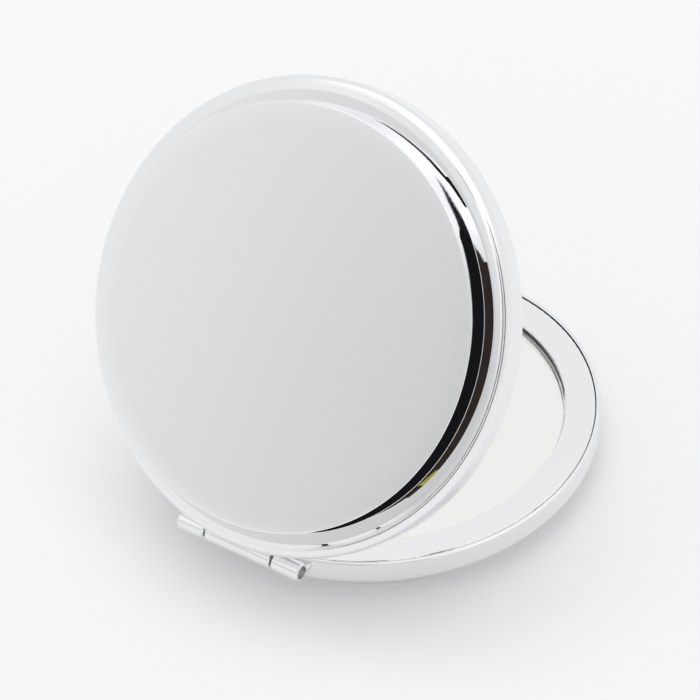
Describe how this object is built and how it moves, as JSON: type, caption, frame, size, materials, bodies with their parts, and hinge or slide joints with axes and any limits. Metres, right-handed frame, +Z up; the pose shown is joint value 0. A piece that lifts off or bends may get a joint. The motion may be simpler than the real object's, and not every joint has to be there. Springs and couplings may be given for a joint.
{
  "type": "compact mirror",
  "caption": "Round folding pocket mirror in polished metal, with a raised round plateau on each half and a pinned hinge, standing open.",
  "frame": {"origin": "centre of the flat face that the base stands on", "axes": "+Z up, out of that face through the base; +Y from the hinge towards the front edge; +X along the hinge pin"},
  "size_m": [0.07, 0.0747, 0.0676],
  "materials": {
    "polished_shell": "pressed sheet, polished and chrome plated",
    "polished_frame": "pressed sheet, polished and chrome plated",
    "mirror_glass": "silvered glass with a ground edge",
    "foam_tape": "white double-sided foam tape",
    "nickel_magnet": "nickel plated magnet",
    "polished_leaf": "rolled sheet, polished and chrome plated",
    "steel_rivet": "plain steel, ground flush with the ring",
    "steel_pin": "drawn wire, cut and bevelled"
  },
  "bodies": {
    "base": {"base_shell": "polished_shell", "base_frame": "polished_frame", "base_mirror_pad": "foam_tape", "base_mirror": "mirror_glass", "base_magnet": "nickel_magnet", "base_hinge_leaf": "polished_leaf", "base_hinge_rivets": "steel_rivet", "hinge_pin": "steel_pin"},
    "lid": {"lid_shell": "polished_shell", "lid_frame": "polished_frame", "lid_mirror_pad": "foam_tape", "lid_mirror": "mirror_glass", "lid_magnet": "nickel_magnet", "lid_hinge_leaf": "polished_leaf", "lid_hinge_rivets": "steel_rivet"}
  },
  "joints": [
    {"name": "lid_hinge", "type": "hinge", "parent": "base", "child": "lid", "pos_m": [0, -0.0358, 0.00795], "axis": [1, 0, 0], "range_deg": [-54.25, 125.75]}
  ]
}
